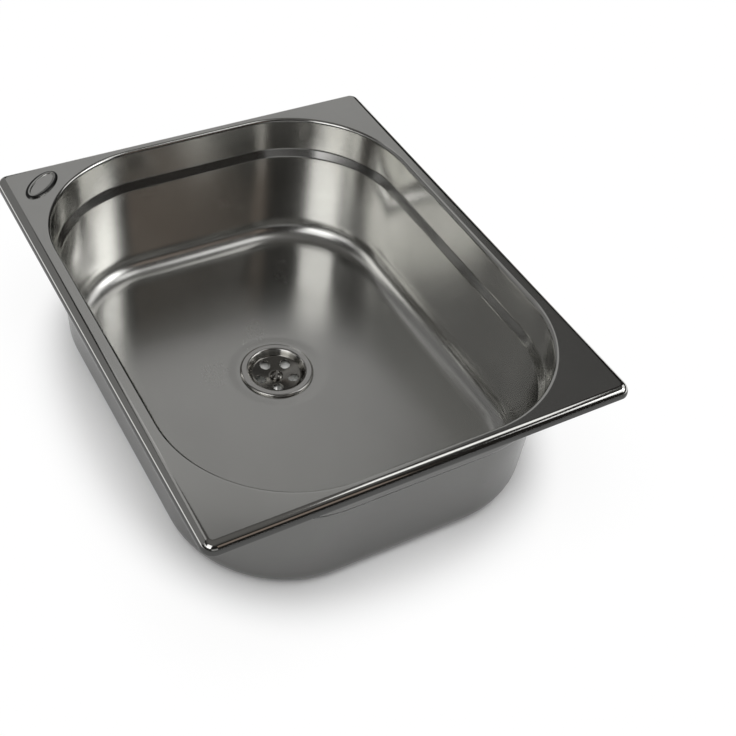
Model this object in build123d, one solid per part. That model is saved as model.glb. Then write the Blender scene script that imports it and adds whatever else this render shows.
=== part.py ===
from build123d import *
import os
from math import cos, radians, sin

# A drop-in camping sink: a deep-drawn steel basin with a strainer waste and a swivelling hose elbow.
# The origin is the middle of the plane that the rim's lip rests on. +X runs along the short side,
# +Y along the long side and +Z up. All sizes are millimetres.

# Rim of the basin
sheet = 0.8                 # thickness of the basin's steel
rim_width = 265.0           # over the rim, along X
rim_length = 325.0          # over the rim, along Y
rim_corner = 7.5            # plan radius of the rim's corners
rim_round = 5.5             # wide bend from the flange into the lip
lip_height = 6.0            # from the flange's top to the lip's lower edge
flange_side = 12.0          # flange beside the opening, along the long sides
flange_end = 9.0            # flange beside the opening, along the short sides

# Bowl of the basin
basin_depth = 96.5          # from the flange's top to the underside of the floor
opening_corner = 77.0       # plan radius of the opening's corners
opening_round = 2.5         # bend from the flange into the collar
collar_depth = 23.5         # from the flange's top to the stacking shoulder
collar_lean = 0.8           # how far the collar leans in over its depth
shoulder_step = 3.0         # how far the stacking shoulder steps in
shoulder_drop = 5.5         # how far it falls on the way
shoulder_round = 2.5        # bends above and below the shoulder
wall_lean = 2.2             # how far the bowl's wall leans in below the shoulder
floor_round = 15.0          # bend from the wall into the floor
bend_margin = 0.4           # flat strip left beside a bend

# Blank oval stamping on one corner of the flange
stamp_length = 31.0
stamp_width = 15.0
stamp_height = 1.2          # how far it stands above the flange
stamp_round = 0.6           # soft edge of the stamping
stamp_setback = 14.5        # from the opening's edge to the stamping's middle
stamp_turn = 42.0           # degrees from +X to its long axis

# Dish in the floor that takes the waste
drain_offset = 15.0         # from the basin's middle towards +Y
dimple_depth = 0.7          # how far the dish falls below the floor
dimple_slope = 6.5          # width of its sloping edge
dimple_round = 30.0         # soft bends at the top and foot of that slope
seat_margin = 2.0           # flat seat outside the strainer's rim
drain_clearance = 0.3       # between the strainer's dish and the hole in the floor

# Strainer
strainer_sheet = 0.8
strainer_holes = 5
strainer_hole_radius = 3.75
strainer_hole_circle = 11.5  # radius on which the holes lie
strainer_hole_turn = 34.0    # degrees from +X to the first hole
strainer_hole_margin = 1.25  # steel between the holes and the foot of the dish's wall
strainer_depth = 6.5         # from the top of the rim to the screw's seat
strainer_fall = 2.2          # how far the dish's floor falls from its wall to the screw's seat
strainer_lean = 3.0          # how far the dish's wall leans out
strainer_rim = 5.0           # width of the rim
strainer_round = 1.8         # bends of the dish
strainer_edge_round = 1.6    # bend of the rim's turned-down edge
strainer_edge_gap = 0.2      # between that edge and the basin
screw_seat_margin = 0.75     # flat seat outside the screw's head

# Gaskets
upper_gasket_height = 1.2
lower_gasket_height = 2.5
gasket_clearance = 0.3       # beside the gaskets

# Strainer screw and the insert that takes it
screw_radius = 2.5
screw_hole_clearance = 0.3   # round the shank in the strainer
screw_thread_clearance = 0.05
screw_head_radius = 4.25
screw_head_height = 2.6
screw_head_edge = 1.0        # height of the head's side below its dome
screw_tip = 1.0              # chamfer at the screw's end, and how far it stands out of the insert
slot_width = 1.4             # driver slot across the head
slot_depth = 1.3
slot_turn = 56.0             # degrees from +X to the slot
insert_wall = 1.5
insert_height = 10.0
insert_clearance = 0.02

# Waste body
boss_wall = 2.2              # round the insert
boss_setback = 2.5           # from the strainer's underside to the top of the boss
boss_floor = 1.5             # boss below the insert
rib_count = 3
rib_thickness = 2.4
body_flange_height = 3.5
body_wall = 2.6              # wall of the funnel
body_clearance = 0.6         # round the strainer's dish
body_flange_setback = 0.5    # from the edge of the seat to the edge of the body's flange
funnel_height = 12.0         # from the flange's top to the foot of the funnel
flow_gap = 4.3               # water way between the boss and the outlet's wall
spigot_wall = 2.7            # wall of the threaded outlet
spigot_length = 13.0         # from the foot of the funnel to the outlet's end

# Union: seal, collar and nut
union_seal_height = 2.0
union_clearance = 0.3        # between the nut and what it turns on
union_collar_height = 3.0
union_wall = 3.0
union_floor = 2.8            # nut below the elbow's collar
union_reach = 12.0           # how far the nut reaches up the outlet
union_chamfer = 1.0
lug_count = 8
lug_radius = 2.6

# Elbow with its hose tail
elbow_bore = 8.5
elbow_wall = 2.3
elbow_throat = 3.2           # inner radius of the bend
hose_radius = 10.0           # outside of the tail, for a 20 mm hose
tail_wall = 2.0
tail_length = 32.0
tail_chamfer = 1.0
stop_height = 2.0            # bead that stops the hose
stop_length = 3.0
groove_count = 4
groove_pitch = 6.0
groove_width = 2.0
groove_depth = 0.7

# Heights, from the flange's top down
flange_top = lip_height
floor_under = flange_top - basin_depth
floor_top = floor_under + sheet
shoulder_top = flange_top - collar_depth
seat_top = floor_top - dimple_depth
seat_under = seat_top - sheet
strainer_top = seat_top + upper_gasket_height + strainer_sheet
dish_top = strainer_top - strainer_depth
dish_under = dish_top - strainer_sheet
body_top = seat_under - lower_gasket_height
boss_top = dish_under - boss_setback
boss_bottom = boss_top - insert_height - boss_floor
funnel_bottom = body_top - funnel_height
spigot_bottom = min(funnel_bottom - spigot_length, boss_bottom)
collar_top = spigot_bottom - union_seal_height
collar_bottom = collar_top - union_collar_height
nut_top = spigot_bottom + union_reach
nut_inside = collar_bottom - union_clearance
nut_bottom = nut_inside - union_floor
neck_bottom = nut_bottom - union_clearance

# Widths in plan
opening_width = rim_width - 2 * flange_side
opening_length = rim_length - 2 * flange_end
wall_foot = collar_lean + shoulder_step + wall_lean
floor_inset = wall_foot + floor_round + bend_margin

# Radii about the drain's axis
dish_foot = strainer_hole_circle + strainer_hole_radius + strainer_hole_margin
dish_mouth = dish_foot + strainer_lean
strainer_radius = dish_mouth + strainer_rim
drain_hole = dish_mouth + strainer_sheet + drain_clearance
seat_radius = strainer_radius + seat_margin
dimple_radius = seat_radius + dimple_slope
dimple_edge = dimple_radius + dimple_round / 2
insert_radius = screw_radius + screw_thread_clearance + insert_wall
boss_radius = insert_radius + insert_clearance + boss_wall
funnel_mouth = dish_mouth + strainer_sheet + body_clearance
body_flange_radius = seat_radius - body_flange_setback
outlet_bore = boss_radius + flow_gap
spigot_radius = outlet_bore + spigot_wall
nut_bore = spigot_radius + union_clearance
nut_radius = nut_bore + union_wall
neck_radius = elbow_bore + elbow_wall
elbow_bend = neck_radius + elbow_throat


def sheet_section(points, rounds, thickness, side=Side.LEFT):
    """Section of a pressed sheet: one face follows the points, the other lies the thickness away."""
    return make_face(offset(FilletPolyline(*points, radius=rounds), thickness, side=side))


def rounded_frame(section, width, length, corner):
    """Section carried round a rounded rectangle: four straight sides and four quarter turns."""
    frame = []
    for quarter in range(4):
        across, along = (width, length) if quarter % 2 == 0 else (length, width)
        straight = along - 2 * corner
        start = Plane(origin=(across / 2, straight / 2, 0), x_dir=(1, 0, 0), z_dir=(0, -1, 0))
        turn_axis = Axis((across / 2 - corner, straight / 2, 0), (0, 0, 1))
        side = extrude(start * section, straight, dir=(0, -1, 0))
        bend = revolve(start * section, turn_axis, 90)
        frame += [Rot(0, 0, 90 * quarter) * side, Rot(0, 0, 90 * quarter) * bend]
    return frame


def turned(section):
    """Section drawn as radius and height, turned once round the vertical axis."""
    return revolve(Plane.XZ * section, Axis.Z)


def turned_outline(*points):
    """Solid turned from a closed outline of radius and height points."""
    return turned(make_face(Polyline(*points, close=True)))


def upright_ring(outer, inner, bottom, top):
    """Plain ring between two heights."""
    return extrude(Pos(0, 0, bottom) * (Circle(outer) - Circle(inner)), top - bottom)


def upright_rod(radius, bottom, top):
    """Plain round bar between two heights."""
    return extrude(Pos(0, 0, bottom) * Circle(radius), top - bottom)


def at_drain(piece):
    """Moves a piece from the Z axis to the drain's axis."""
    return Pos(0, drain_offset, 0) * piece


def make_flange():
    """Flat flange between the rim's bend and the opening's bend, with the raised oval stamping."""
    outer_inset = rim_round + bend_margin
    inner_outset = opening_round + bend_margin
    plate = RectangleRounded(
        rim_width - 2 * outer_inset, rim_length - 2 * outer_inset, rim_corner - outer_inset
    ) - RectangleRounded(
        opening_width + 2 * inner_outset, opening_length + 2 * inner_outset, opening_corner + inner_outset
    )
    flange = extrude(Pos(0, 0, flange_top - sheet) * plate, sheet)
    reach = (opening_corner + stamp_setback) * cos(radians(45))
    middle_x = -(opening_width / 2 - opening_corner) - reach
    middle_y = opening_length / 2 - opening_corner + reach
    place = Pos(middle_x, middle_y, flange_top - sheet) * Rot(0, 0, stamp_turn)
    raised = extrude(place * Ellipse(stamp_length / 2, stamp_width / 2), sheet + stamp_height)
    raised = fillet(raised.edges().group_by(Axis.Z)[-1], stamp_round)
    hollow = extrude(place * Ellipse(stamp_length / 2 - sheet, stamp_width / 2 - sheet), stamp_height)
    return flange + raised - hollow


def make_lip():
    """Bend at the flange's edge and the lip that it turns down into."""
    line = [(-rim_round - bend_margin, flange_top), (0, flange_top), (0, 0)]
    section = sheet_section(line, [rim_round], sheet, Side.RIGHT)
    return rounded_frame(section, rim_width, rim_length, rim_corner)


def make_bowl():
    """Collar, stacking shoulder, wall and floor bend, carried round the opening."""
    shoulder_edge = collar_lean + shoulder_step
    line = [
        (opening_round + bend_margin, flange_top),
        (0, flange_top),
        (-collar_lean, shoulder_top),
        (-shoulder_edge, shoulder_top - shoulder_drop),
        (-wall_foot, floor_top),
        (-floor_inset, floor_top),
    ]
    rounds = [opening_round, shoulder_round, shoulder_round, floor_round]
    section = sheet_section(line, rounds, sheet)
    return rounded_frame(section, opening_width, opening_length, opening_corner)


def make_floor():
    """Flat floor with the dish for the waste."""
    plate = RectangleRounded(
        opening_width - 2 * floor_inset, opening_length - 2 * floor_inset, opening_corner - floor_inset
    ) - Pos(0, drain_offset) * Circle(dimple_edge)
    floor = extrude(Pos(0, 0, floor_under) * plate, sheet)
    line = [
        (dimple_edge, floor_top),
        (dimple_radius, floor_top),
        (seat_radius, seat_top),
        (drain_hole, seat_top),
    ]
    return [floor, at_drain(turned(sheet_section(line, [dimple_round, dimple_round], sheet)))]


def make_basin():
    """The whole deep-drawn shell as one piece of sheet."""
    return make_flange() + make_lip() + make_bowl() + make_floor()


def make_strainer():
    """Pressed dish with a rolled rim, a floor that falls to the screw's seat, and round holes."""
    screw_hole = screw_radius + screw_hole_clearance
    screw_seat = screw_head_radius + screw_seat_margin
    line = [
        (strainer_radius, seat_top + strainer_edge_gap),
        (strainer_radius, strainer_top),
        (dish_mouth, strainer_top),
        (dish_foot, dish_top + strainer_fall),
        (screw_seat, dish_top),
        (screw_hole, dish_top),
    ]
    rounds = [strainer_edge_round, strainer_round, strainer_round, strainer_round]
    dish = turned(sheet_section(line, rounds, strainer_sheet))
    for hole in range(strainer_holes):
        angle = radians(strainer_hole_turn + 360 * hole / strainer_holes)
        place = Pos(strainer_hole_circle * cos(angle), strainer_hole_circle * sin(angle), 0)
        dish -= place * upright_rod(strainer_hole_radius, dish_under, strainer_top)
    return dish


def make_upper_gasket():
    """Flat ring under the flat of the strainer's rim."""
    outer = strainer_radius - strainer_edge_round
    inner = drain_hole + gasket_clearance
    return upright_ring(outer, inner, seat_top, strainer_top - strainer_sheet)


def make_lower_gasket():
    """Flat ring between the floor's seat and the waste body's flange."""
    return upright_ring(body_flange_radius, drain_hole, body_top, seat_under)


def make_strainer_screw():
    """Domed screw with a driver slot, a plain shank and a chamfered tip."""
    tip = boss_top - insert_height - screw_tip
    head_top = dish_top + screw_head_height
    dome_height = screw_head_height - screw_head_edge
    dome_radius = (screw_head_radius ** 2 + dome_height ** 2) / (2 * dome_height)
    dome = Pos(0, 0, head_top - dome_radius) * Sphere(dome_radius)
    head = upright_rod(screw_head_radius, dish_top, head_top) & dome
    shank = turned_outline(
        (0, dish_top),
        (0, tip),
        (screw_radius - screw_tip, tip),
        (screw_radius, tip + screw_tip),
        (screw_radius, dish_top),
    )
    slot = Pos(0, 0, head_top - slot_depth / 2) * Box(2 * screw_head_radius, slot_width, slot_depth)
    return head + shank - Rot(0, 0, slot_turn) * slot


def make_threaded_insert():
    """Brass bush in the waste body's boss."""
    bore = screw_radius + screw_thread_clearance
    return upright_ring(insert_radius, bore, boss_top - insert_height, boss_top)


def make_waste_body():
    """Flanged funnel with a threaded outlet and a boss carried on ribs in the water way."""
    outer = turned_outline(
        (0, body_top),
        (body_flange_radius, body_top),
        (body_flange_radius, body_top - body_flange_height),
        (funnel_mouth + body_wall, body_top - body_flange_height),
        (spigot_radius, funnel_bottom),
        (spigot_radius, spigot_bottom),
        (0, spigot_bottom),
    )
    water_way = turned_outline(
        (0, body_top),
        (funnel_mouth, body_top),
        (outlet_bore, funnel_bottom),
        (outlet_bore, spigot_bottom),
        (0, spigot_bottom),
    )
    boss = upright_rod(boss_radius, boss_bottom, boss_top)
    rib_height = boss_top - boss_bottom
    rib_middle = (boss_top + boss_bottom) / 2
    rib = Pos(funnel_mouth / 2, 0, rib_middle) * Box(funnel_mouth, rib_thickness, rib_height)
    spider = boss
    for turn in range(rib_count):
        spider += Rot(0, 0, 360 * turn / rib_count) * (rib & water_way)
    insert_hole = upright_rod(insert_radius + insert_clearance, boss_top - insert_height, boss_top)
    tip_hole = upright_rod(screw_radius + screw_hole_clearance, boss_bottom, boss_top)
    return outer - water_way + (spider - insert_hole - tip_hole)


def make_union_seal():
    """Flat ring between the outlet's end and the elbow's collar."""
    return upright_ring(spigot_radius, outlet_bore, collar_top, spigot_bottom)


def make_union_nut():
    """Nut with grip lugs, a plain bore over the outlet and a floor under the elbow's collar."""
    neck_hole = neck_radius + union_clearance
    nut = upright_rod(nut_radius, nut_bottom, nut_top)
    nut = chamfer(nut.edges(), union_chamfer)
    lug = upright_rod(lug_radius, nut_bottom + union_chamfer, nut_top - union_chamfer)
    for turn in range(lug_count):
        nut += Rot(0, 0, 360 * turn / lug_count) * Pos(nut_radius - union_chamfer, 0, 0) * lug
    return nut - upright_rod(nut_bore, nut_inside, nut_top) - upright_rod(neck_hole, nut_bottom, nut_top)


def elbow_path(radius):
    """Round bar down the neck and round the bend to +Y, for the elbow and for its bore."""
    bend_axis = Axis((0, elbow_bend, neck_bottom), (1, 0, 0))
    bend = revolve(Pos(0, 0, neck_bottom) * Circle(radius), bend_axis, 90)
    return upright_rod(radius, neck_bottom, collar_top) + bend


def make_hose_tail():
    """Bead and grooved tail, drawn as radius and height and laid along +Y from the bend."""
    bead = neck_radius + stop_height
    start = stop_length
    points = [(0, 0), (bead, 0), (bead, start), (hose_radius, start)]
    for groove in range(groove_count):
        foot = start + (groove + 1) * groove_pitch
        points += [
            (hose_radius, foot - groove_width),
            (hose_radius - groove_depth, foot - groove_width),
            (hose_radius, foot),
        ]
    end = start + tail_length
    points += [(hose_radius, end - tail_chamfer), (hose_radius - tail_chamfer, end), (0, end)]
    tail = turned_outline(*points) - upright_rod(hose_radius - tail_wall, 0, end)
    return Pos(0, elbow_bend, neck_bottom - elbow_bend) * Rot(-90, 0, 0) * tail


def make_outlet_elbow():
    """Elbow with a collar at its top, a smooth bend and a hose tail."""
    collar = upright_rod(spigot_radius, collar_bottom, collar_top)
    return elbow_path(neck_radius) + collar - elbow_path(elbow_bore) + make_hose_tail()


pieces = {
    "basin": make_basin(),
    "strainer": at_drain(make_strainer()),
    "strainer_screw": at_drain(make_strainer_screw()),
    "upper_gasket": at_drain(make_upper_gasket()),
    "lower_gasket": at_drain(make_lower_gasket()),
    "waste_body": at_drain(make_waste_body()),
    "threaded_insert": at_drain(make_threaded_insert()),
    "union_seal": at_drain(make_union_seal()),
    "outlet_elbow": at_drain(make_outlet_elbow()),
    "union_nut": at_drain(make_union_nut()),
}

os.makedirs("parts", exist_ok=True)
for name, piece in pieces.items():
    export_step(piece, f"parts/{name}.step")
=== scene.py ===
import bmesh
import bpy
import numpy as np
from mathutils import Matrix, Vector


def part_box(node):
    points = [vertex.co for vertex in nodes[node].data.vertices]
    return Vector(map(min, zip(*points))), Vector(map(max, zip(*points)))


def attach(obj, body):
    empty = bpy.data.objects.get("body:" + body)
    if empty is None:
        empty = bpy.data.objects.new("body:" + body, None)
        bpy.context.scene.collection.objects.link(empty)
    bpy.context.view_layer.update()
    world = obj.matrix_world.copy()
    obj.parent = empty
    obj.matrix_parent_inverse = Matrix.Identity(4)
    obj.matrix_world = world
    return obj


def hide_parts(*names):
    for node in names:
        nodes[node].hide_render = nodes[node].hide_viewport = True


# The looks of a drop-in camping sink: the pressed steel basin, its blank stamping and the strainer are
# worked out here as smooth surfaces, and the parts of the waste keep their solids and get finishes.
# All lengths are metres in the part's frame: +X along the short side, +Y along the long side, +Z up.

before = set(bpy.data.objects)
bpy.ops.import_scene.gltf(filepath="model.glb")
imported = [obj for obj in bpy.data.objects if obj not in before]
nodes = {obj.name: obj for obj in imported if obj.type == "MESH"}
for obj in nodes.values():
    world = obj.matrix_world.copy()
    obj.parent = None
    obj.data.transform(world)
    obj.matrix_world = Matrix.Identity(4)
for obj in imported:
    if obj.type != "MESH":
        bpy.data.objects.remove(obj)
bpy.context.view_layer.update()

# Sizes of the pressing
mm = 0.001
sheet = 0.8 * mm
rim_corner = 7.5 * mm         # corners of the rim, seen from above
rim_round = 5.5 * mm          # bend of the lip
flange_side = 12 * mm         # width of the flange along the long sides
flange_end = 9 * mm           # and along the short ones
opening_corner = 77 * mm      # corners of the opening, seen from above
opening_round = 2.5 * mm      # bend at the opening's edge
collar_depth = 23.5 * mm
collar_lean = 0.8 * mm        # how far the collar leans in
shoulder_step = 3 * mm        # how far the shoulder goes in
shoulder_drop = 5.5 * mm      # and how far down
shoulder_round = 2.5 * mm     # its two bends
wall_lean = 2.2 * mm          # how far the wall leans in
floor_round = 15 * mm         # bend between the wall and the floor
bend_margin = 0.4 * mm        # flat strip between the end of a section and the bend next to it
dimple_depth = 0.7 * mm       # depth of the dish round the drain
dimple_slope = 6.5 * mm       # width of its slope
dimple_round = 30 * mm        # bends of its slope
seat_margin = 2 * mm          # flat seat past the strainer's edge
drain_clearance = 0.3 * mm    # between the strainer's dish and the hole in the floor
hold = 0.5 * mm               # strip beside each bend that keeps flat runs flat when shaded
dull_shade_tilt = 0.53              # rise of the rim's normal below which its bend is dull and painted dark, painted shade in place of a darker reflection
outside_dull_shade = 0.88       # share of dull steel on the outside, painted dark as painted shade; the dull lip has 1 and the bright inside 0

# Sizes of the stamping
stamp_length = 31 * mm
stamp_width = 15 * mm
stamp_height = 1.2 * mm
stamp_setback = 14.5 * mm
stamp_turn = np.radians(42)
stamp_bead = 3.4 * mm         # width of its raised border
stamp_field = 0.5 * mm        # height of the blank field inside the border
stamp_root = 0.3 * mm         # how far its foot is let into the flange

# Sizes of the strainer
strainer_sheet = 0.8 * mm
strainer_holes = 5
hole_radius = 3.75 * mm
hole_circle = 11.5 * mm       # radius on which the holes lie
hole_turn = np.radians(34)    # from +X to the first hole
hole_margin = 1.25 * mm       # steel between the holes and the foot of the dish's wall
hole_edge = 0.2 * mm          # soft edge of each hole
dish_shade_start = 0.2 * mm        # depth below the rim at which painted shade starts to darken the dish
dish_shade_reach = 2.5 * mm        # depth at which the dish's painted shade is full
strainer_rim = 5 * mm         # from the edge in to the dish's mouth
strainer_round = 1.8 * mm     # bends at the dish's mouth and foot
strainer_edge_round = 1.6 * mm  # bend of the rolled edge
strainer_edge_gap = 0.2 * mm  # from the seat up to the rolled edge
strainer_fall = 2.2 * mm      # fall of the floor from the foot of the wall to the screw's seat
screw_hole = 2.8 * mm         # radius of the hole for the screw
screw_seat = 5 * mm           # radius of the flat seat round the screw

# Fineness of the meshes
round_steps = {"corner_steps": 40, "long_steps": 30, "short_steps": 20}  # once round the opening
lip_steps = 16                # along the lip's bend
bowl_steps = 12               # along each bend of the bowl
dish_steps = 8                # along each bend of the dish round the drain
strainer_steps = 10           # along each bend of the strainer
table_steps = 12              # along the table's edge
oval_steps = 120              # once round the stamping
border_points = 17            # across the stamping's border
field_rings = 6               # from that border in to the middle of the field
sector_arc = 28               # along the outer arc of one of the strainer's sectors
sector_side = 12              # along each of the sector's other three sides
face_rings = 8                # from the sector's outline in to its hole
hole_edge_points = 5          # down the soft edge of a hole
face_reach = 0.95             # share of the way in to the hole that the face's rings cover
field_reach = 0.96            # size of the field's first ring, as a share of the border's inner oval
merge_distance = 0.001 * mm   # points nearer than this become one
sharp_angle = np.radians(40)  # edges that turn more than this stay sharp

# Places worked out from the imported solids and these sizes
basin_low, basin_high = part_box("basin")
strainer_low, strainer_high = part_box("strainer")
rim_half = np.array([basin_high.x, basin_high.y])
opening_half = rim_half - (flange_side, flange_end)
flange_top = basin_high.z - stamp_height
shoulder_top = flange_top - collar_depth
shoulder_edge = collar_lean + shoulder_step  # in from the opening's edge, as the next two are
wall_foot = shoulder_edge + wall_lean
floor_edge = wall_foot + floor_round + bend_margin
seat_top = basin_low.z + sheet
floor_top = seat_top + dimple_depth
floor_under = floor_top - sheet
drain = np.array([0, (strainer_low.y + strainer_high.y) / 2])
strainer_radius = strainer_high.x
strainer_top = strainer_high.z
dish_under = strainer_low.z
dish_top = dish_under + strainer_sheet
dish_mouth = strainer_radius - strainer_rim
dish_foot = hole_circle + hole_radius + hole_margin
drain_hole = dish_mouth + strainer_sheet + drain_clearance
seat_radius = strainer_radius + seat_margin
dimple_radius = seat_radius + dimple_slope


# Shapes

def circle(angles):
    """Unit directions at these angles."""
    return np.stack([np.cos(angles), np.sin(angles)], axis=-1)


def bent_line(corners, rounds, steps):
    """Line through the corners with each inner corner rounded: its points, and unit normals on its right.

    A bend of radius r that turns by t leaves the straight runs r tan(t / 2) from the corner, and its
    normals turn evenly from one run's to the next. Two more points hold each run straight, at most a third
    of the run from its ends.
    """
    corners = np.asarray(corners, float)
    runs = np.diff(corners, axis=0)
    runs /= np.linalg.norm(runs, axis=1)[:, None]
    sides = np.stack([runs[:, 1], -runs[:, 0]], axis=1)
    points = [corners[:1]]
    normals = [sides[:1]]
    for bend, radius in enumerate(rounds):
        before, after = runs[bend], runs[bend + 1]
        turn = np.arctan2(before[0] * after[1] - before[1] * after[0], before @ after)
        start = corners[bend + 1] - before * radius * np.tan(abs(turn) / 2)
        angles = np.arctan2(sides[bend, 1], sides[bend, 0]) + np.linspace(0, turn, steps + 1)
        arc_normals = circle(angles)
        bulge = np.sign(turn) * radius
        points.append(start + bulge * (arc_normals - sides[bend]))
        normals.append(arc_normals)
    points.append(corners[-1:])
    normals.append(sides[-1:])
    held_points = [points[0]]
    held_normals = [normals[0]]
    for first, second, normal, after in zip(points[:-1], points[1:], sides, normals[1:]):
        start, end = first[-1], second[0]
        share = min(hold / np.linalg.norm(end - start), 1 / 3)
        held_points += [np.array([start + (end - start) * share, end - (end - start) * share]), second]
        held_normals += [np.array([normal, normal]), after]
    return np.concatenate(held_points), np.concatenate(held_normals)


def around_rectangle(corner_steps, long_steps, short_steps):
    """Once round a rounded rectangle, anticlockwise: unit normals, and the signs of the nearest corner.

    Each quarter is an arc, on which the normal turns by 90 degrees, and then a straight side, on which
    the normal stays and the signs run on to the next corner's.
    """
    signs = np.array([(1, 1), (-1, 1), (-1, -1), (1, -1)], float)
    turns = []
    corners = []
    for quarter in range(4):
        side_steps = long_steps if quarter % 2 else short_steps
        here, there = signs[quarter], signs[(quarter + 1) % 4]
        run = np.linspace(0, 1, side_steps + 1)[1:-1, None]
        turns.append(np.linspace(quarter, quarter + 1, corner_steps + 1))
        turns.append(np.full(side_steps - 1, quarter + 1.0))
        corners.append(np.tile(here, (corner_steps + 1, 1)))
        corners.append(here + (there - here) * run)
    angles = np.concatenate(turns) * np.pi / 2
    return circle(angles), np.concatenate(corners)


def carried_round(line, centres, directions):
    """Line of distances and heights carried round.

    Each point lies its distance from the centre, along the direction.
    """
    flat = centres + line[:, :1, None] * directions
    heights = np.broadcast_to(line[:, 1, None, None], flat.shape[:2] + (1,))
    return np.concatenate([flat, heights], axis=2)


def grid_faces(rows, columns, close_rows=False):
    """Quads of a grid of points whose rows are rings. With close_rows, the last row joins the first."""
    row = np.arange(rows if close_rows else rows - 1)[:, None]
    column = np.arange(columns)
    below = (row + 1) % rows
    beside = (column + 1) % columns
    upper = row * columns
    lower = below * columns
    quads = (upper + column, upper + beside, lower + beside, lower + column)
    return np.stack(np.broadcast_arrays(*quads), axis=-1).reshape(-1, 4)


def add_piece(name, grids, attributes=()):
    """Smooth mesh of one or more grids, each (points, faces), with the points that meet merged."""
    all_points = []
    all_faces = []
    count = 0
    for points, faces in grids:
        all_points.append(points.reshape(-1, 3))
        all_faces.append(faces + count)
        count += len(all_points[-1])
    mesh = bpy.data.meshes.new(name)
    mesh.from_pydata(np.concatenate(all_points), [], np.concatenate(all_faces))
    for label, values in attributes:
        attribute = mesh.attributes.new(label, "FLOAT", "POINT")
        attribute.data.foreach_set("value", values.astype(np.float32))
    work = bmesh.new()
    work.from_mesh(mesh)
    bmesh.ops.remove_doubles(work, verts=work.verts, dist=merge_distance)
    work.to_mesh(mesh)
    work.free()
    mesh.shade_smooth()
    mesh.set_sharp_from_angle(angle=sharp_angle)
    piece = bpy.data.objects.new(name, mesh)
    bpy.context.scene.collection.objects.link(piece)
    return piece


def finish_piece(piece, material, body, slot, *replaced):
    """Gives a piece its finish and its body, and hides the solids that it stands for."""
    piece.data.materials.append(material)
    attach(piece, body)
    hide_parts(*replaced)


def lip_line():
    """Section of the lip: up the rim and over its bend to the flange."""
    lip_inside = -rim_round - bend_margin
    return bent_line([(0, 0), (0, flange_top), (lip_inside, flange_top)], [rim_round], lip_steps)


def bowl_line():
    """Section of the bowl: over the opening's edge and down the collar, shoulder and wall to the floor."""
    corners = [
        (opening_round + bend_margin, flange_top),
        (0, flange_top),
        (-collar_lean, shoulder_top),
        (-shoulder_edge, shoulder_top - shoulder_drop),
        (-wall_foot, floor_top),
        (-floor_edge, floor_top),
    ]
    return bent_line(corners, [opening_round, shoulder_round, shoulder_round, floor_round], bowl_steps)


def dish_line():
    """Section of the dish round the drain: from the floor down to the seat and in to the hole."""
    corners = [
        (dimple_radius + dimple_round / 2, floor_top),
        (dimple_radius, floor_top),
        (seat_radius, seat_top),
        (drain_hole, seat_top),
    ]
    return bent_line(corners, [dimple_round, dimple_round], dish_steps)


def make_basin():
    """Basin: three sections of its sheet, each carried round.

    The lip's section goes round the rim, the bowl's round the opening and the dish's round the drain. They
    follow one another down the upper face, and come back below it by the sheet's thickness, so the grid
    closes on itself both ways.
    """
    normals, corners = around_rectangle(**round_steps)
    rim_centres = corners * (rim_half - rim_corner)
    bowl_centres = corners * (opening_half - opening_corner)
    floor_ring = bowl_centres + (opening_corner - floor_edge) * normals - drain
    drain_ways = floor_ring / np.linalg.norm(floor_ring, axis=1)[:, None]
    lip = lip_line()
    sections = [
        (lip, (rim_corner, 0), rim_centres, normals),
        (bowl_line(), (opening_corner, 0), bowl_centres, normals),
        (dish_line(), (0, 0), drain, drain_ways),
    ]
    upper = []
    lower = []
    for (line, line_normals), shift, centres, ways in sections:
        upper.append(carried_round(line + shift, centres, ways))
        lower.append(carried_round(line - line_normals * sheet + shift, centres, ways)[::-1])
    points = np.concatenate(upper + lower[::-1])
    rows, columns = points.shape[:2]
    # The lower face, which is the second half of the rows, is dull and painted dark as painted shade, and
    # so is the lower part of the lip. The rest of the lip's bend is polished.
    tilts = lip[1][:, 1]
    dull_shade_share = np.zeros(rows)
    dull_shade_share[rows // 2:] = outside_dull_shade
    dull_shade_share[:len(tilts)] = tilts < dull_shade_tilt
    polish = np.zeros(rows)
    polish[:len(tilts)] = (tilts > dull_shade_tilt) & (tilts < 1)
    attributes = [
        ("polish", np.repeat(polish, columns)),
        ("dull_shade_share", np.repeat(dull_shade_share, columns)),
    ]
    return add_piece("basin_pressing", [(points, grid_faces(rows, columns, close_rows=True))], attributes)


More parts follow.
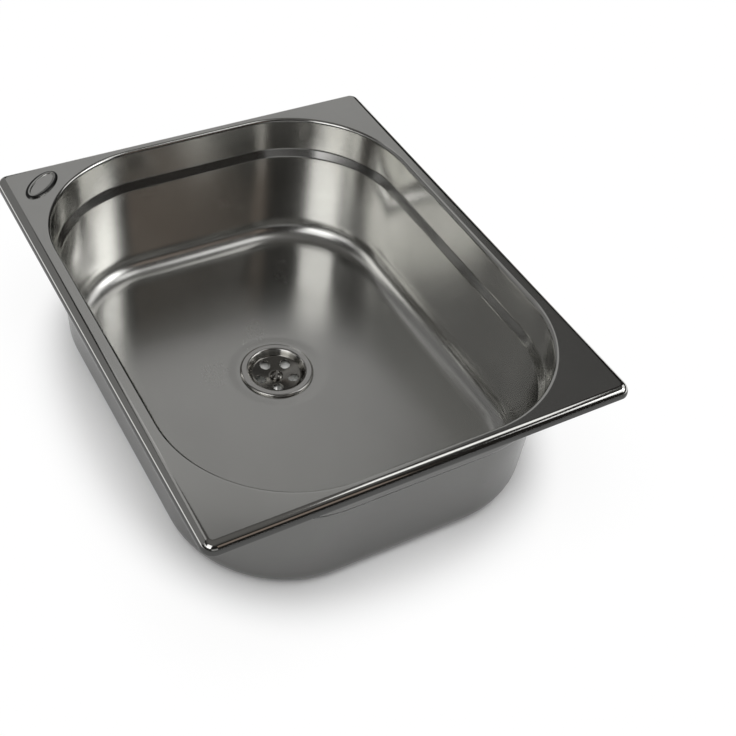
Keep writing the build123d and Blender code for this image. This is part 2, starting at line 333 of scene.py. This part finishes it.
def make_stamping():
    """Blank oval stamping: rings inset from an ellipse for its border, then shrunk to its middle.

    The border's height follows a sine, up from the flange and down again to the field.
    """
    reach = (opening_corner + stamp_setback) * np.sqrt(0.5)
    middle = np.array([-1, 1]) * (opening_half - opening_corner + reach)
    along = circle(stamp_turn)
    across = np.array([-along[1], along[0]])
    around = circle(np.linspace(0, 2 * np.pi, oval_steps, endpoint=False))
    swing = np.linspace(0, np.pi, border_points)
    inner = slice(border_points // 2 + 1, None)
    bead_insets = stamp_bead * (1 - np.cos(swing)) / 2
    bead_heights = np.sin(swing) * stamp_height
    bead_heights[inner] = stamp_field + (stamp_height - stamp_field) * np.sin(swing[inner])
    field_heights = np.full(field_rings, stamp_field)
    insets = np.concatenate([[0], bead_insets, np.full(field_rings, stamp_bead), [0]])
    heights = np.concatenate([[-stamp_root], bead_heights, field_heights, [-stamp_root]])
    shares = np.concatenate([np.ones(1 + border_points), np.linspace(field_reach, 0, field_rings), [0]])
    half = np.array([stamp_length, stamp_width]) / 2
    ovals = shares[:, None, None] * (half - insets[:, None, None]) * around
    flat = middle + ovals[..., :1] * along + ovals[..., 1:] * across
    lift = np.broadcast_to((flange_top + heights)[:, None, None], flat.shape[:2] + (1,))
    points = np.concatenate([flat, lift], axis=2)
    rows, columns = points.shape[:2]
    # The outer half of the border is dull and painted dark, as painted shade
    shaded_border = (insets < stamp_bead / 2) & (heights > 0)
    attributes = [("dull_shade_share", np.repeat(shaded_border, columns))]
    return add_piece("oval_stamping", [(points, grid_faces(rows, columns, close_rows=True))], attributes)


def dish_height(radius):
    """Height of the strainer's floor at a radius: level at the screw's seat, then an even rise."""
    return dish_top + strainer_fall * np.maximum(radius - screw_seat, 0) / (dish_foot - screw_seat)


def turned_about_drain(points, angle):
    """Points turned about the drain's axis and moved there from the origin."""
    spin = np.array([[np.cos(angle), np.sin(angle)], [-np.sin(angle), np.cos(angle)]])
    flat = points[..., :2] @ spin + drain
    return np.concatenate([flat, points[..., 2:]], axis=-1)


def strainer_section():
    """Section of the strainer's rim and wall: out along its lower face, and back along the upper one."""
    corners = [
        (strainer_radius, seat_top + strainer_edge_gap),
        (strainer_radius, strainer_top),
        (dish_mouth, strainer_top),
        (dish_foot, dish_height(dish_foot)),
        (hole_circle, dish_height(hole_circle)),
    ]
    rounds = [strainer_edge_round, strainer_round, strainer_round]
    line, normals = bent_line(corners, rounds, strainer_steps)
    # The last run, of three points, only guides the bend before it: the floor takes its place
    line, normals = line[:-3], normals[:-3]
    edge_radius = line[-1, 0]
    under = line - normals * strainer_sheet
    under[-1] = edge_radius, dish_height(edge_radius) - strainer_sheet
    return np.concatenate([under[::-1], line])


def sector_outline(edge_radius):
    """Outline of one sector of the strainer's floor, with its hole on +X.

    It runs anticlockwise: the outer arc, a side, the arc round the screw's hole and the other side.
    """
    half = np.pi / strainer_holes
    outer = edge_radius * circle(np.linspace(-half, half, sector_arc + 1))[:-1]
    inner = screw_hole * circle(np.linspace(half, -half, sector_side + 1))[:-1]
    run = np.linspace(edge_radius, screw_hole, sector_side + 1)[:, None]
    inward = run[:-1] * circle(half)
    outward = run[::-1][:-1] * circle(-half)
    return np.concatenate([outer, inward, inner, outward])


def strainer_sector(edge_radius):
    """One sector of the strainer's floor, spread from its outline in to its hole.

    Its upper face runs from the outline to the hole's soft edge, down the hole and back below.
    """
    outline = sector_outline(edge_radius)
    centre = np.array([hole_circle, 0])
    ways = outline - centre
    spread = np.linalg.norm(ways, axis=1)
    ways /= spread[:, None]
    swing = np.linspace(0, np.pi / 2, hole_edge_points)
    edge_radii = hole_radius - hole_edge * np.sin(swing)
    edge_drops = hole_edge * (1 - np.cos(swing))
    face_shares = np.linspace(0, face_reach, face_rings)
    face = spread + (hole_radius - spread) * face_shares[:, None]
    wall_radii = np.concatenate([edge_radii, [hole_radius - hole_edge]])
    wall = np.repeat(wall_radii[:, None], len(outline), axis=1)
    distances = np.concatenate([face, wall, face[::-1]])
    drops = np.concatenate([np.zeros(face_rings), edge_drops, np.full(1 + face_rings, strainer_sheet)])
    flat = centre + distances[..., None] * ways
    lift = dish_height(np.linalg.norm(flat, axis=2)) - drops[:, None]
    return np.concatenate([flat, lift[..., None]], axis=2)


def make_strainer():
    """Strainer: a floor of equal sectors, a turned rim and wall, and the edge of the screw's hole."""
    section = strainer_section()
    sector = strainer_sector(edge_radius=section[-1, 0])
    screw_edge = np.array([(screw_hole, dish_top), (screw_hole, dish_under)])
    turns = hole_turn + np.arange(strainer_holes) * 2 * np.pi / strainer_holes
    grids = [(turned_about_drain(sector, turn), grid_faces(*sector.shape[:2])) for turn in turns]
    for line, steps in ((section, sector_arc), (screw_edge, sector_side)):
        arc = np.linspace(-1, 1, steps + 1)[:-1] * np.pi / strainer_holes
        points = carried_round(line, drain, circle((turns[:, None] + arc).ravel()))
        grids.append((points, grid_faces(*points.shape[:2])))
    return add_piece("strainer_dish", grids)


# Finishes

class Wire:
    """One output socket in a node tree. Arithmetic on it adds Math nodes to the tree."""

    def __init__(self, tree, socket):
        self.tree = tree
        self.socket = socket

    def __add__(self, other):
        return self.tree.math("ADD", self, other)

    def __sub__(self, other):
        return self.tree.math("SUBTRACT", self, other)

    def __rsub__(self, other):
        return self.tree.math("SUBTRACT", other, self)

    def __mul__(self, other):
        return self.tree.math("MULTIPLY", self, other)

    __radd__ = __add__
    __rmul__ = __mul__


class Tree:
    """Node tree of a finish or of the world, cleared, with one method that adds any node."""

    def __init__(self, owner):
        owner.use_nodes = True
        self.tree = owner.node_tree
        self.tree.nodes.clear()

    def node(self, kind, settings, sockets, output=0):
        """Adds a node, sets its settings, then its sockets to values or wires, and returns one output."""
        made = self.tree.nodes.new("ShaderNode" + kind)
        for key, value in settings.items():
            setattr(made, key, value)
        for key, value in sockets.items():
            if isinstance(value, Wire):
                self.tree.links.new(value.socket, made.inputs[key])
            else:
                made.inputs[key].default_value = value
        return Wire(self, made.outputs[output]) if made.outputs else None

    def math(self, operation, *values):
        """Math node on two values or wires."""
        return self.node("Math", {"operation": operation}, dict(enumerate(values)))

    def between(self, value, low, high):
        """0 below low, 1 above high, and a smooth step between them."""
        sockets = {"Value": value, "From Min": low, "From Max": high}
        return self.node("MapRange", {"interpolation_type": "SMOOTHSTEP"}, sockets)

    def blend(self, share, first, second):
        """Colour between two colours: the colour sockets of a Mix node."""
        return self.node("Mix", {"data_type": "RGBA"}, {0: share, 6: first, 7: second}, 2)


def noise(tree, place, per_metre, detail=2.0, rough=0.5):
    """Noise from 0 to 1 with about that many grains per metre along each axis."""
    stretched = tree.node("Mapping", {}, {"Vector": place, "Scale": per_metre})
    sockets = {"Vector": stretched, "Scale": 1.0, "Detail": detail, "Roughness": rough}
    return tree.node("TexNoise", {}, sockets)


def new_finish(name):
    """Empty material and its tree, with the piece's own coordinates."""
    material = bpy.data.materials.new(name)
    tree = Tree(material)
    place = tree.node("TexCoord", {}, {}, "Object")
    return material, tree, place


def close_finish(tree, sockets):
    """Principled shader with these sockets, as the finish's surface."""
    shader = tree.node("BsdfPrincipled", {}, sockets)
    tree.node("OutputMaterial", {}, {"Surface": shader})


def make_satin_steel():
    """Drawn stainless steel: fine grain along the basin, soft smudges and slight waves.

    The floor is worn rougher, the outside and the lip are dull and painted dark as painted shade, and the
    lip's bend is polished.
    """
    dim_steel = (0.67, 0.667, 0.645, 1)
    bright_steel = (0.72, 0.717, 0.693, 1)
    # Painted shade: the outside and the lip are darkened toward this colour, in place of a darker
    # reflection
    painted_shade_steel = (0.08, 0.08, 0.078, 1)
    edge_tint = (0.85, 0.85, 0.85, 1)  # of reflections at a low angle
    wave_depth = 0.12 * mm
    material, tree, place = new_finish("satin_steel")
    polish = tree.node("Attribute", {"attribute_name": "polish"}, {}, "Fac")
    dull_shade_share = tree.node("Attribute", {"attribute_name": "dull_shade_share"}, {}, "Fac")
    dull_shade = dull_shade_share * (1 - polish)
    grain = noise(tree, place, per_metre=(3500, 250, 3500), detail=3.0)
    smudge = noise(tree, place, per_metre=(16, 11, 16), detail=4.0, rough=0.6)
    waves = noise(tree, place, per_metre=(26, 26, 26), detail=1.0)
    height = tree.node("SeparateXYZ", {}, {"Vector": place}, "Z")
    worn = 1 - tree.between(height, floor_top, floor_top + floor_round)
    marks = (smudge - 0.5) * 0.06 + (grain - 0.5) * 0.02
    roughness = 0.17 + marks + worn * 0.09 + dull_shade * 0.05 - polish * 0.08
    colour = tree.blend(tree.between(smudge, 0.3, 0.7), dim_steel, bright_steel)
    # Painted shade: darkens the dull outside, the lower lip and the stamping's border
    shaded_colour = tree.blend(dull_shade, colour, painted_shade_steel)
    wavy = tree.node("Bump", {}, {"Height": waves, "Distance": wave_depth})
    sockets = {"Base Color": shaded_colour, "Roughness": roughness, "Metallic": 1.0, "Normal": wavy}
    sockets["Specular Tint"] = edge_tint
    close_finish(tree, sockets)
    return material


def make_polished_steel():
    """Polished stainless steel with faint turning marks about the drain, light wear and painted shade
    darkening the dish.
    """
    fresh_steel = (0.60, 0.59, 0.57, 1)
    worn_steel = (0.68, 0.67, 0.65, 1)
    # Painted shade: the dish is darkened toward this colour with depth
    dish_shade_steel = (0.30, 0.29, 0.27, 1)
    mark_depth = 0.002 * mm
    material, tree, place = new_finish("polished_steel")
    centred = tree.node("Mapping", {}, {"Vector": place, "Location": (-drain[0], -drain[1], 0)})
    settings = {"wave_type": "RINGS", "rings_direction": "Z"}
    sockets = {"Vector": centred, "Scale": 700.0, "Distortion": 2.0, "Detail": 2.0}
    rings = tree.node("TexWave", settings, sockets)
    wear = noise(tree, place, per_metre=(220, 220, 220), detail=4.0, rough=0.6)
    roughness = 0.13 + wear * 0.08 + rings * 0.03
    colour = tree.blend(wear, fresh_steel, worn_steel)
    height = tree.node("SeparateXYZ", {}, {"Vector": place}, "Z")
    # Painted shade: darker with depth into the dish
    dish_shade = 1 - tree.between(height, strainer_top - dish_shade_reach, strainer_top - dish_shade_start)
    dish_shaded_colour = tree.blend(dish_shade, colour, dish_shade_steel)
    marked = tree.node("Bump", {}, {"Height": rings, "Distance": mark_depth})
    close_finish(tree, {"Base Color": dish_shaded_colour, "Roughness": roughness, "Metallic": 1.0, "Normal": marked})
    return material


def make_gasket_rubber():
    """Matt black rubber with a fine moulded tooth and a dusty bloom."""
    black_rubber = (0.02, 0.02, 0.02, 1)
    dusty_rubber = (0.045, 0.044, 0.042, 1)
    tooth_depth = 0.03 * mm
    material, tree, place = new_finish("gasket_rubber")
    tooth = noise(tree, place, per_metre=(2400, 2400, 2400))
    bloom = noise(tree, place, per_metre=(120, 120, 120), detail=3.0)
    colour = tree.blend(bloom, black_rubber, dusty_rubber)
    toothed = tree.node("Bump", {}, {"Height": tooth, "Distance": tooth_depth})
    close_finish(tree, {"Base Color": colour, "Roughness": 0.62 + bloom * 0.25, "Normal": toothed})
    return material


def make_waste_plastic():
    """White moulded plastic: a fine spark-eroded tooth and slight flow marks."""
    dim_white = (0.74, 0.74, 0.72, 1)
    bright_white = (0.81, 0.81, 0.79, 1)
    tooth_depth = 0.02 * mm
    material, tree, place = new_finish("waste_plastic")
    tooth = noise(tree, place, per_metre=(1500, 1500, 1500))
    flow = noise(tree, place, per_metre=(60, 60, 25), detail=3.0)
    colour = tree.blend(flow, dim_white, bright_white)
    toothed = tree.node("Bump", {}, {"Height": tooth, "Distance": tooth_depth})
    close_finish(tree, {"Base Color": colour, "Roughness": 0.36 + flow * 0.12, "Normal": toothed})
    return material


def make_insert_brass():
    """Turned brass with fine tool rings along its axis and a slight tarnish."""
    bright_brass = (0.74, 0.55, 0.27, 1)
    tarnished_brass = (0.60, 0.42, 0.19, 1)
    ring_depth = 0.01 * mm
    material, tree, place = new_finish("insert_brass")
    settings = {"wave_type": "BANDS", "bands_direction": "Z"}
    rings = tree.node("TexWave", settings, {"Vector": place, "Scale": 900.0, "Distortion": 1.0})
    tarnish = noise(tree, place, per_metre=(180, 180, 180), detail=3.0)
    colour = tree.blend(tarnish, bright_brass, tarnished_brass)
    ringed = tree.node("Bump", {}, {"Height": rings, "Distance": ring_depth})
    roughness = 0.22 + tarnish * 0.2
    close_finish(tree, {"Base Color": colour, "Roughness": roughness, "Metallic": 1.0, "Normal": ringed})
    return material


# The object

satin_steel = make_satin_steel()
polished_steel = make_polished_steel()
gasket_rubber = make_gasket_rubber()
waste_plastic = make_waste_plastic()
finishes = {
    "strainer_screw": polished_steel,
    "upper_gasket": gasket_rubber,
    "lower_gasket": gasket_rubber,
    "union_seal": gasket_rubber,
    "waste_body": waste_plastic,
    "outlet_elbow": waste_plastic,
    "union_nut": waste_plastic,
    "threaded_insert": make_insert_brass(),
}
for name, finish in finishes.items():
    nodes[name].data.materials.clear()
    nodes[name].data.materials.append(finish)

finish_piece(make_basin(), satin_steel, "sink", "satin_steel", "basin")
finish_piece(make_stamping(), satin_steel, "sink", "satin_steel", "basin")
finish_piece(make_strainer(), polished_steel, "strainer", "polished_steel", "strainer")


# The stage: a round white table that the basin's base stands on, open under the base

table_radius = 1.1
table_edge = 20 * mm          # round of the table's edge
floor_gap = 0.1 * mm          # between the base and the table, so that the two don't meet
well_margin = 2 * mm          # from the edge of the basin's flat base in to the table's opening
table_paint = (0.95, 0.95, 0.95, 1)
plain_white = (1, 1, 1, 1)
glow_near = 0.05              # share of the table's tone that is plain white beside the base
glow_far = 0.9                # the same well beyond the rim
glow_start = 0.97             # distance from which that share grows, where the rim's half sizes count as 1
glow_end = 1.28               # distance at which it has grown


def make_floor():
    """Table top: from its round edge, turned down, in to an opening of the base's shape.

    The edge's section is carried round the middle, and its inner end is joined to the opening.
    """
    level = floor_under - floor_gap
    section = [(table_radius, level - 2 * table_edge), (table_radius, level), (0, level)]
    line = bent_line(section, [table_edge], table_steps)[0]
    normals, corners = around_rectangle(**round_steps)
    base_corner = opening_corner - wall_foot - floor_round - well_margin
    opening = corners * (opening_half - opening_corner) + normals * base_corner
    ways = opening / np.linalg.norm(opening, axis=1)[:, None]
    # The opening takes the place of the line's last two points
    edge = carried_round(line[:-2], np.zeros(2), ways)
    inner = np.concatenate([opening, np.full((len(opening), 1), level)], axis=1)
    points = np.concatenate([edge, inner[None]])
    return add_piece("floor", [(points, grid_faces(*points.shape[:2]))])


def make_floor_finish():
    """White paint that takes the shadow, and turns to plain white away from the base.

    The plain white is for the eye and for reflections. The underside lets the eye through to the waste.
    """
    material, tree, place = new_finish("floor_white")
    paint = tree.node("BsdfDiffuse", {}, {"Color": table_paint})
    white = tree.node("Emission", {}, {"Color": plain_white, "Strength": 1.0})
    rays = ("Is Camera Ray", "Is Glossy Ray", "Is Transmission Ray")
    camera_ray, glossy_ray, through_ray = [tree.node("LightPath", {}, {}, ray) for ray in rays]
    seen = camera_ray + glossy_ray + through_ray
    scaled = tree.node("Mapping", {}, {"Vector": place, "Scale": (1 / rim_half[0], 1 / rim_half[1], 0)})
    reach = tree.node("VectorMath", {"operation": "LENGTH"}, {0: scaled}, "Value")
    glow = glow_near + tree.between(reach, glow_start, glow_end) * (glow_far - glow_near)
    lit = tree.node("MixShader", {}, {0: seen * glow, 1: paint, 2: white})
    clear = tree.node("BsdfTransparent", {}, {})
    behind = tree.node("NewGeometry", {}, {}, "Backfacing")
    one_sided = tree.node("MixShader", {}, {0: behind, 1: lit, 2: clear})
    tree.node("OutputMaterial", {}, {"Surface": one_sided})
    return material


floor = make_floor()
floor.data.materials.append(make_floor_finish())


# Light: a dark room on white ground, soft panels that show only in reflections, and a soft sun

room_distance = 2.5
horizon = (-0.02, 0)          # rise of the direction over which the white ground gives way to the room
ceiling = (0.72, 0.96)        # rise over which the walls give way to the ceiling
wall_colour = (0.014, 0.013, 0.012, 1)
ceiling_colour = (0.12, 0.117, 0.113, 1)


def towards(azimuth, elevation):
    """Unit direction at an azimuth from +Y towards +X and an elevation, in degrees."""
    a, e = np.radians(azimuth), np.radians(elevation)
    return np.array([np.sin(a) * np.cos(e), np.cos(a) * np.cos(e), np.sin(e)])


def facing(direction, place):
    """Matrix of a lamp at a place, shining back along the direction, with its width level."""
    across = np.cross((0, 0, 1), direction)
    across /= np.linalg.norm(across)
    upright = np.cross(direction, across)
    matrix = np.identity(4)
    matrix[:3] = np.stack([across, upright, direction, place], axis=1)
    return Matrix(matrix)


def add_lamp(name, kind, way, distance):
    """Lamp in a direction from the sink, shining back at it, and its data."""
    lamp = bpy.data.lights.new(name, kind)
    light = bpy.data.objects.new(name, lamp)
    light.matrix_world = facing(way, way * distance)
    light.visible_camera = False
    bpy.context.scene.collection.objects.link(light)
    return light, lamp


def add_panel(name, azimuths, elevations, radiance, tint=(1, 1, 1), distance=room_distance):
    """Soft panel that spans these angles and shows only in reflections.

    Its watts are four times its radiance times its area.
    """
    middle = np.mean(elevations)
    light, lamp = add_lamp(name, "AREA", towards(np.mean(azimuths), middle), distance)
    spread = np.radians([np.ptp(azimuths), np.ptp(elevations)]) * (np.cos(np.radians(middle)), 1)
    lamp.shape = "RECTANGLE"
    lamp.size, lamp.size_y = 2 * distance * np.tan(spread / 2)
    lamp.energy = 4 * radiance * lamp.size * lamp.size_y
    lamp.color = tint
    light.visible_diffuse = False


def add_sun(name, azimuth, elevation, angle, strength):
    """Soft sun for the table and the plastic. Reflections show only the room and the panels."""
    light, lamp = add_lamp(name, "SUN", towards(azimuth, elevation), room_distance)
    lamp.angle = np.radians(angle)
    lamp.energy = strength
    light.visible_glossy = False


def make_room():
    """World: a dark room with a grey ceiling, which stands on white and is white to the eye."""
    world = bpy.data.worlds.new("room")
    tree = Tree(world)
    way = tree.node("TexCoord", {}, {}, "Generated")
    height = tree.node("SeparateXYZ", {}, {"Vector": way}, "Z")
    above = tree.between(height, *horizon)
    dark = above * (1 - tree.node("LightPath", {}, {}, "Is Camera Ray"))
    walls = tree.blend(tree.between(height, *ceiling), wall_colour, ceiling_colour)
    colour = tree.blend(dark, plain_white, walls)
    room = tree.node("Background", {}, {"Color": colour, "Strength": 1.0})
    tree.node("OutputWorld", {}, {"Surface": room})
    bpy.context.scene.world = world


make_room()
add_panel("panel_back", azimuths=(6, 39), elevations=(2, 57), radiance=0.245)
add_panel("panel_back_right", azimuths=(39, 62), elevations=(28, 53), radiance=0.045)
add_panel("panel_right", azimuths=(80, 104), elevations=(20, 42), radiance=0.75)
add_panel("panel_front", azimuths=(104, 139), elevations=(20, 43), radiance=0.9)
add_panel("panel_front_middle", azimuths=(108, 132), elevations=(20, 43), radiance=1.1)
add_panel("panel_camera", azimuths=(153, 170), elevations=(26, 42), radiance=0.14, tint=(1.2, 0.97, 0.82))
add_panel("panel_low", azimuths=(172, 214), elevations=(4, 21), radiance=0.22)
add_panel("panel_left", azimuths=(217, 256), elevations=(26, 56), radiance=1.05)
add_panel("panel_left_low", azimuths=(222, 270), elevations=(22, 38), radiance=0.6)
add_panel("panel_left_side", azimuths=(268, 284), elevations=(22, 38), radiance=0.3)
add_panel("panel_far_left", azimuths=(284, 362), elevations=(0, 46), radiance=0.13)
add_panel("panel_far_left_high", azimuths=(312, 366), elevations=(49, 58), radiance=0.25)
add_panel("panel_over", azimuths=(92, 128), elevations=(50, 71), radiance=0.9, distance=0.9)
add_sun("soft_sun", azimuth=220, elevation=80, angle=60, strength=3.3)


# The camera, close to where the photograph was taken from

camera_place = np.array([-272.6, -470.5, 476.9]) * mm
camera_azimuth = 33.49
camera_elevation = -45.91
camera_roll = np.radians(6.64)
camera_focus = 1191.6         # focal length in pixels of the frame
camera_axis = (336.5, 384.2)  # pixel, from the left and the top, that the camera points at
frame_pixels = 736
film_width = 36               # width of the film in millimetres


def add_camera():
    """Camera at its place, turned by the roll, with its axis shifted to its pixel of the frame."""
    lens = bpy.data.cameras.new("camera")
    lens.sensor_width = film_width
    lens.lens = lens.sensor_width * camera_focus / frame_pixels
    lens.shift_x = 0.5 - camera_axis[0] / frame_pixels
    lens.shift_y = camera_axis[1] / frame_pixels - 0.5
    ahead = towards(camera_azimuth, camera_elevation)
    level = np.cross(ahead, (0, 0, 1))
    level /= np.linalg.norm(level)
    upright = np.cross(level, ahead)
    matrix = np.identity(4)
    matrix[:3, 0] = np.cos(camera_roll) * level + np.sin(camera_roll) * upright
    matrix[:3, 1] = np.cos(camera_roll) * upright - np.sin(camera_roll) * level
    matrix[:3, 2] = -ahead
    matrix[:3, 3] = camera_place
    camera = bpy.data.objects.new("camera", lens)
    camera.matrix_world = Matrix(matrix)
    bpy.context.scene.collection.objects.link(camera)
    bpy.context.scene.camera = camera


add_camera()
bpy.context.scene.view_settings.view_transform = "Standard"
